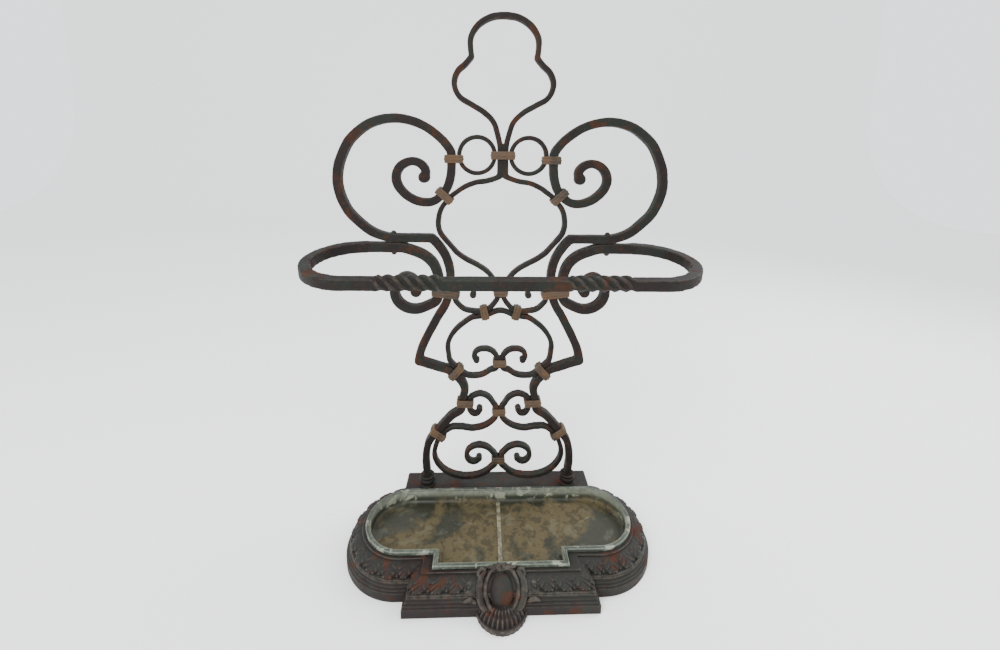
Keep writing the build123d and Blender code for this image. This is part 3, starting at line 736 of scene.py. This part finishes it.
# Block behind the basin, hollow from beneath, that carries the stiles.
def buildRear():
    radius = basin["radius"] - rearBlock["inset"]
    edge = []
    for i in range(rearBlock["arcSteps"] + 1):
        angle = math.acos((basin["rearEnd"] - basin["straight"]) / radius)
        angle += (math.pi / 2 - angle) * i / rearBlock["arcSteps"]
        edge.append((basin["straight"] + radius * math.cos(angle),
                     basin["middleY"] + radius * math.sin(angle)))
    half, back, front, wall = rearBlock["half"], rearBlock["back"], rearBlock["front"], rearBlock["wall"]
    right = [(half, front)] + edge
    plate = [(-x, y) for x, y in right] + right[::-1] + [(half, back), (-half, back)]
    legs = [(-half, front), (-half + wall, front), (-half + wall, back - wall), (half - wall, back - wall),
            (half - wall, front), (half, front), (half, back), (-half, back)]
    return [prism(plate, rearBlock["under"], rearBlock["top"]),
            prism(legs, 0.0, rearBlock["under"] + rearBlock["overlap"])]


def joined(parts):
    verts, faces = [], []
    for partVerts, partFaces in parts:
        start = len(verts)
        verts += partVerts
        faces += [tuple(i + start for i in face) for face in partFaces]
    return verts, faces


base = meshFrom("base_mouldings", *buildCasting(), castIron)
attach(base, "stand")
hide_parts("base_casting")
rear = meshFrom("base_rear_block", *joined(buildRear()), castIron)
grain = rear.modifiers.new("grain", "REMESH")
grain.mode = "VOXEL"
grain.voxel_size = rearBlock["grain"]
soften = rear.modifiers.new("soften", "SMOOTH")
soften.iterations = 2
runTree(rear, forgeTree, {"Hammer Size": 40.0, "Hammer Depth": 0.0002, "Pit Size": 300.0, "Pit Depth": 0.0,
                          "Seed": 3.0, "Finish": castIron})
keepInside(rear, *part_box("base_casting"))
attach(rear, "stand")
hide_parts("base_casting")
print("casting swept:", len(base.data.polygons), "faces")

# ornaments in front: oval boss in a leaf frame, and a fluted shell below it
ornament = {
    "middle": Vector((0.0, -0.0805, 0.0270)),      # on the sloping band
    "tilt": math.radians(47),
    "ovalWide": 0.0168, "ovalHigh": 0.0190, "ovalProud": 0.0095, "ovalSink": 0.0012,
    "shellMiddle": -0.0812, "shellRadius": 0.0338, "shellHeight": 0.0200, "shellLip": 0.0065, "flutes": 15,
    "shellRings": 26, "shellSides": 150,
    "lipRows": 3,                                  # rows of the lip, before the fluted dome
    "domeReach": 0.94, "domeArc": (0.12, 1.48),    # share of the radius; angles in radians
    "fluteDepth": 0.0011, "lipDepth": 0.0003, "curlHeight": 0.0006, "curls": 4,
}


# Point on the sloping front: x along it, s up it, proud out of it.
def onSlope(x, s, proud):
    tilt = ornament["tilt"]
    up = Vector((0, math.cos(tilt), math.sin(tilt)))
    outward = Vector((0, -math.sin(tilt), math.cos(tilt)))
    return ornament["middle"] + Vector((x, 0, 0)) + up * s + outward * proud


# Closed rod through (x, s, proud) points on the slope, with a radius at each.
def strand(points, radii, flat=1.0, steps=28, sides=10):
    count = len(points)
    spots, sizes = [], []
    for i in range(steps + 1):
        t = i / steps * (count - 1)
        k = min(int(t), count - 2)
        f = t - k
        four = [Vector(points[min(max(k + n, 0), count - 1)]) for n in (-1, 0, 1, 2)]
        spots.append(0.5 * (2 * four[1] + (four[2] - four[0]) * f
                            + (2 * four[0] - 5 * four[1] + 4 * four[2] - four[3]) * f * f
                            + (3 * four[1] - four[0] - 3 * four[2] + four[3]) * f ** 3))
        sizes.append(radii[k] + (radii[k + 1] - radii[k]) * f)
    verts = []
    for i, (spot, size) in enumerate(zip(spots, sizes)):
        along = (spots[min(i + 1, steps)] - spots[max(i - 1, 0)]).normalized()
        side = Vector((-along.y, along.x, 0)).normalized()
        for j in range(sides):
            angle = 2 * math.pi * j / sides
            place = spot + side * (size * math.cos(angle)) + Vector((0, 0, size * flat * math.sin(angle)))
            verts.append(tuple(onSlope(*place)))
    return verts, closedTube(steps + 1, sides)


# Oval cabochon on the slope, closed beneath.
def dome(wide, high, proud, sink, squareness=2.2, fullness=0.55, below=0.002):
    rings, sides = 14, 48
    verts = []
    for i in range(rings):
        r = 1 - i / rings
        rise = proud * (1 - r ** squareness) ** fullness
        for j in range(sides):
            angle = 2 * math.pi * j / sides
            x, s = wide * r * math.cos(angle), high * r * math.sin(angle)
            verts.append(tuple(onSlope(x, s, rise - sink)))
    verts.append(tuple(onSlope(0, 0, proud - sink)))
    verts.append(tuple(onSlope(0, 0, -sink - below)))
    faces = tubeFaces(rings, sides)
    for j in range(sides):
        k = (j + 1) % sides
        faces.append(((rings - 1) * sides + j, (rings - 1) * sides + k, rings * sides))
        faces.append((k, j, rings * sides + 1))
    return verts, faces


# Fluted half-round foot in front of the plinth, closed at the floor.
def shell():
    sides = ornament["shellSides"]
    radius, height, lip = ornament["shellRadius"], ornament["shellHeight"], ornament["shellLip"]
    profile = [(1.0, 0.0), (1.0, lip * 0.9), (0.985, lip), (0.955, lip * 1.05)]
    profile += [(ornament["domeReach"] * math.cos(a), lip + (height - lip) * math.sin(a))
                for a in np.linspace(*ornament["domeArc"], ornament["shellRings"])]
    verts = []
    for row, (r, z) in enumerate(profile):
        for j in range(sides):
            angle = 2 * math.pi * j / sides
            wave = math.cos(ornament["flutes"] * 2 * (angle + math.pi / 2))
            onDome = row > ornament["lipRows"]
            depth = ornament["lipDepth"] * (wave - 1)
            if onDome:
                depth = ornament["fluteDepth"] * (wave - 1) * r ** 0.7
            curl = ornament["curlHeight"] * math.sin(2 * math.pi * ornament["curls"] * r) if onDome else 0.0
            reach = radius * r + min(depth, 0.0)
            x, y = reach * math.cos(angle), ornament["shellMiddle"] + reach * math.sin(angle)
            verts.append((x, y, z + (depth * 0.6 + curl if onDome else 0.0)))
    return verts, closedTube(len(profile), sides)


def mirroredPart(part):
    verts, faces = part
    return [(-x, y, z) for x, y, z in verts], [face[::-1] for face in faces]


# One side of the frame round the oval, in metres: leaf, scroll, crown and sprigs.
def frameLeaves():
    inner = strand([(0.002, 0.0225, 0.002), (0.0130, 0.0195, 0.003), (0.0200, 0.0080, 0.0035),
                    (0.0205, -0.0050, 0.0035), (0.0140, -0.0175, 0.003), (0.003, -0.0255, 0.002)],
                   [0.0018, 0.0024, 0.0026, 0.0028, 0.0024, 0.0014], 1.2)
    leaf = strand([(0.0100, -0.0250, 0.000), (0.0240, -0.0150, 0.0020), (0.0285, -0.0010, 0.0028),
                   (0.0270, 0.0110, 0.0030), (0.0205, 0.0200, 0.003)],
                  [0.0014, 0.0042, 0.0052, 0.0042, 0.0022], 0.62)
    curl = strand([(0.0205, 0.0200, 0.003), (0.0265, 0.0215, 0.003), (0.0300, 0.0170, 0.003),
                   (0.0275, 0.0135, 0.003), (0.0245, 0.0155, 0.003)],
                  [0.0020, 0.0024, 0.0022, 0.0019, 0.0024], 0.9)
    crown = [strand([(0.0, 0.0195, 0.002), (0.0035 + 0.0035 * i, 0.0250 - 0.001 * i, 0.0045),
                     (0.006 + 0.0060 * i, 0.0275 - 0.0022 * i, 0.0036)],
                    [0.0018, 0.0027, 0.0012], 0.9, 10, 8)
             for i in range(3)]
    sprigs = [strand([(0.0320, -0.0125 + 0.0075 * i, 0.0), (0.0400, -0.009 + 0.008 * i, 0.0020),
                      (0.0490, -0.0115 + 0.009 * i, 0.0004)], [0.0016, 0.0034, 0.0008], 0.7, 12, 8)
              for i in range(3)]
    return [inner, leaf, curl] + crown + sprigs


def buildOrnaments():
    half = frameLeaves()
    parts = [dome(ornament["ovalWide"], ornament["ovalHigh"], ornament["ovalProud"], ornament["ovalSink"]),
             shell()]
    return joined(parts + half + [mirroredPart(part) for part in half])


front = meshFrom("front_ornament", *buildOrnaments(), castIron)
runTree(front, forgeTree, {
    "Hammer Size": 160.0, "Hammer Depth": 0.0006, "Pit Size": 500.0, "Pit Depth": 0.0002,
    "Seed": 9.0, "Finish": castIron})
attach(front, "stand")
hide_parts("base_casting")


# double bead below the leaves, laid along the outline
beadSet = {"size": 0.00125, "lines": ((0.0226, 20.7), (0.0249, 19.9)), "sides": 10}


def buildBeadTree():
    tree, given, out = newTree("beadLine", [
        ("Size", "NodeSocketFloat", 0.001), ("Sides", "NodeSocketInt", 8),
        ("Finish", "NodeSocketMaterial", None)])
    links = tree.links
    curve = tree.nodes.new("GeometryNodeMeshToCurve")
    links.new(given.outputs["Geometry"], curve.inputs["Mesh"])
    circle = tree.nodes.new("GeometryNodeCurvePrimitiveCircle")
    links.new(given.outputs["Size"], circle.inputs["Radius"])
    links.new(given.outputs["Sides"], circle.inputs["Resolution"])
    sweep = tree.nodes.new("GeometryNodeCurveToMesh")
    sweep.inputs["Fill Caps"].default_value = True
    links.new(curve.outputs[0], sweep.inputs["Curve"])
    links.new(circle.outputs[0], sweep.inputs["Profile Curve"])
    smooth = tree.nodes.new("GeometryNodeSetShadeSmooth")
    links.new(sweep.outputs[0], smooth.inputs[0])
    real = tree.nodes.new("GeometryNodeRealizeInstances")
    links.new(smooth.outputs[0], real.inputs[0])
    finish = tree.nodes.new("GeometryNodeSetMaterial")
    links.new(real.outputs[0], finish.inputs["Geometry"])
    links.new(given.outputs["Finish"], finish.inputs["Material"])
    links.new(finish.outputs[0], out.inputs[0])
    return tree


beadVerts, beadEdges = [], []
for height, reach in beadSet["lines"]:
    line = outline(reach * mm, basin["blockFront"])[0]
    start = len(beadVerts)
    beadVerts += [(x, y, height) for x, y in line]
    beadEdges += [(start + i, start + i + 1) for i in range(len(line) - 1)]
beadMesh = bpy.data.meshes.new("base_bead")
beadMesh.from_pydata(beadVerts, beadEdges, [])
bead = bpy.data.objects.new("base_bead", beadMesh)
bpy.context.collection.objects.link(bead)
runTree(bead, buildBeadTree(), {"Size": beadSet["size"], "Sides": beadSet["sides"], "Finish": castIron})
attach(bead, "stand")
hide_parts("base_casting")
print("base ornaments set")


# drip tray: two beaten halves, soldered down the middle, with a rolled rim
pan = {
    "outer": [(44.7, -5.0), (31.0, -5.0), (27.6, -6.0), (25.9, -8.2), (25.0, -11.0)],
    "inner": [(44.7, -6.6), (31.0, -6.6), (28.8, -7.3), (27.3, -8.9), (26.6, -11.0)],   # height, reach in mm
    "dent": 0.0009, "dentSize": 24.0, "dentSlice": 0.3, "dentFade": 6,
    "dish": 0.0006, "fans": 22, "spine": 0.110,
    "wallFrom": 0.0275, "wallTo": 0.034,           # heights between which the floor's stain gives way, m
}


# Old zinc: olive deposit over grey-green metal, dark damp patches, pale streaks on the walls, and ridges
# lightened by rubbed wear and painted highlight.
def zincFinish(name, tones):
    finish = Finish(name, 0.6, 0.0, 0.3)
    tree = finish.tree
    damp = finish.group(blotches, Size=11.0, Cover=tones["dampCover"], Soft=0.14)
    speck = finish.group(blotches, Size=95.0, Cover=0.40, Soft=0.12)
    pale = finish.group(blotches, Size=42.0, Cover=tones["paleCover"], Soft=0.10)
    skin = finish.group(corrodedSkin, Size=70.0, Pits=0.8)
    edges = finish.group(ridgeWearHighlightAndHollows, Break=0.4)
    height = tree.nodes.new("ShaderNodeSeparateXYZ")
    tree.links.new(finish.place, height.inputs[0])
    wall = rangeNode(tree, height.outputs["Z"], pan["wallFrom"], pan["wallTo"])
    colour = mixNode(tree, speck.outputs["Mask"], tones["ground"], tones["grain"])
    colour = mixNode(tree, mathNode(tree, "MULTIPLY", damp.outputs["Mask"], tones["dampShare"]), colour,
                     tones["damp"])
    paleShare = rangeNode(tree, wall, 0.0, 1.0, tones["paleFloor"], 0.95)
    streak = mathNode(tree, "MULTIPLY", pale.outputs["Mask"], paleShare)
    colour = mixNode(tree, mathNode(tree, "MULTIPLY", wall, tones["wallShare"]), colour, tones["wall"])
    colour = mixNode(tree, streak, colour, tones["pale"])
    colour = mixNode(tree, mathNode(tree, "MULTIPLY", skin.outputs["Pit"], 0.8), colour, tones["pit"])
    # ridges lightened: rubbed wear plus painted highlight
    colour = mixNode(tree, mathNode(tree, "MULTIPLY", edges.outputs["Ridges"], 0.7), colour, tones["rubbedAndHighlight"])
    finish.colour(colour)
    finish.rough(rangeNode(tree, damp.outputs["Mask"], 0.0, 1.0, 0.72, 0.42))
    finish.bump(skin.outputs["Height"], 0.5, 0.0006)
    return finish.material


# the rubbed colour on the ridges is rubbed wear together with a painted highlight
zincTray = zincFinish("zincTray", {
    "ground": (0.064, 0.050, 0.022), "grain": (0.037, 0.029, 0.013), "damp": (0.012, 0.015, 0.010),
    "wall": (0.026, 0.033, 0.023), "pale": (0.20, 0.205, 0.145), "pit": (0.020, 0.011, 0.005),
    "rubbedAndHighlight": (0.14, 0.15, 0.11), "dampCover": 0.40, "dampShare": 0.85, "paleCover": 0.27, "paleFloor": 0.10,
    "wallShare": 0.7})
zincRim = zincFinish("zincRim", {
    "ground": (0.062, 0.074, 0.056), "grain": (0.028, 0.034, 0.026), "damp": (0.015, 0.019, 0.014),
    "wall": (0.060, 0.072, 0.055), "pale": (0.20, 0.215, 0.165), "pit": (0.012, 0.010, 0.007),
    "rubbedAndHighlight": (0.27, 0.29, 0.23), "dampCover": 0.46, "dampShare": 0.8, "paleCover": 0.26, "paleFloor": 0.4,
    "wallShare": 0.3})


# Right half of the basin's outline, from the middle of the front to the middle of the rear.
def halfLine(reach):
    points = outline(reach, basin["trayFront"], math.pi / 2)[0]
    right = points[len(points) // 2:]
    rearY = right[-1][1]
    straight = sorted({round(x, 7) for x, y in right if x < basin["straight"] - 1e-6}, reverse=True)
    return right + [(x, rearY) for x in straight]


# Rows of points down the wall and over the floor, to the line where the floor's slopes meet.
def panRows(profile, upper):
    rows = [[(x, y, z * mm) for x, y in halfLine(reach * mm)] for z, reach in profile]
    floor = rows[-1]
    for n in range(1, pan["fans"] + 1):
        share = n / pan["fans"]
        row = []
        for x, y, z in floor:
            px, py = x + (min(x, pan["spine"]) - x) * share, y + (basin["middleY"] - y) * share
            fade = min(1.0, share * pan["dentFade"])
            dip = pan["dent"] * waviness(px, py, pan["dentSlice"], pan["dentSize"]) * fade
            row.append((px, py, z + (max(dip, -pan["dish"]) if upper else min(dip, 0.0))))
        rows.append(row)
    return rows


# One beaten half of the tray, closed along the middle and round the top of its wall.
def panHalf(side):
    upper, under = panRows(pan["inner"], True), panRows(pan["outer"], False)
    rows = upper[::-1] + under
    columns = len(rows[0])
    verts = [(side * x, y, z) for row in rows for x, y, z in row]
    faces = []
    for i in range(len(rows) - 1):
        for k in range(columns - 1):
            here, below = i * columns + k, (i + 1) * columns + k
            faces.append((here, here + 1, below + 1, below))
    last = len(rows) - 1
    for k in (0, columns - 1):
        for i in range(len(upper) - 1):
            j = last - i
            faces.append((i * columns + k, (i + 1) * columns + k, (j - 1) * columns + k, j * columns + k))
    return verts, faces


for side, name in ((-1, "tray_left"), (1, "tray_right")):
    piece = meshFrom(name + "_pan", *panHalf(side), zincTray)
    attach(piece, "drip_tray")
    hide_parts(name)
forge("tray_rim", {"grain": 0.0009, "soften": 3, "hammerSize": 60.0, "hammerDepth": 0.0009, "pitSize": 400.0,
                   "pitDepth": 0.0002, "body": "drip_tray", "slot": "zinc"}, zincRim, 70.0)

solderTone = {"ground": (0.16, 0.15, 0.10), "dull": (0.075, 0.066, 0.038)}


def buildSolder():
    finish = Finish("solder", 0.5, 0.0)
    speck = finish.group(blotches, Size=120.0, Cover=0.45, Soft=0.2)
    finish.colour(mixNode(finish.tree, speck.outputs["Mask"], solderTone["ground"], solderTone["dull"]))
    skin = finish.group(corrodedSkin, Size=200.0)
    finish.bump(skin.outputs["Height"], 0.4, 0.0003)
    return finish.material


forge("tray_seam", {
    "grain": 0.0004, "soften": 2, "hammerSize": 120.0, "hammerDepth": 0.0005, "pitSize": 600.0,
    "pitDepth": 0.0002, "body": "drip_tray", "slot": "solder"}, buildSolder(), 80.0)
print("tray beaten and soldered")

keepInside(front, *cadBounds)
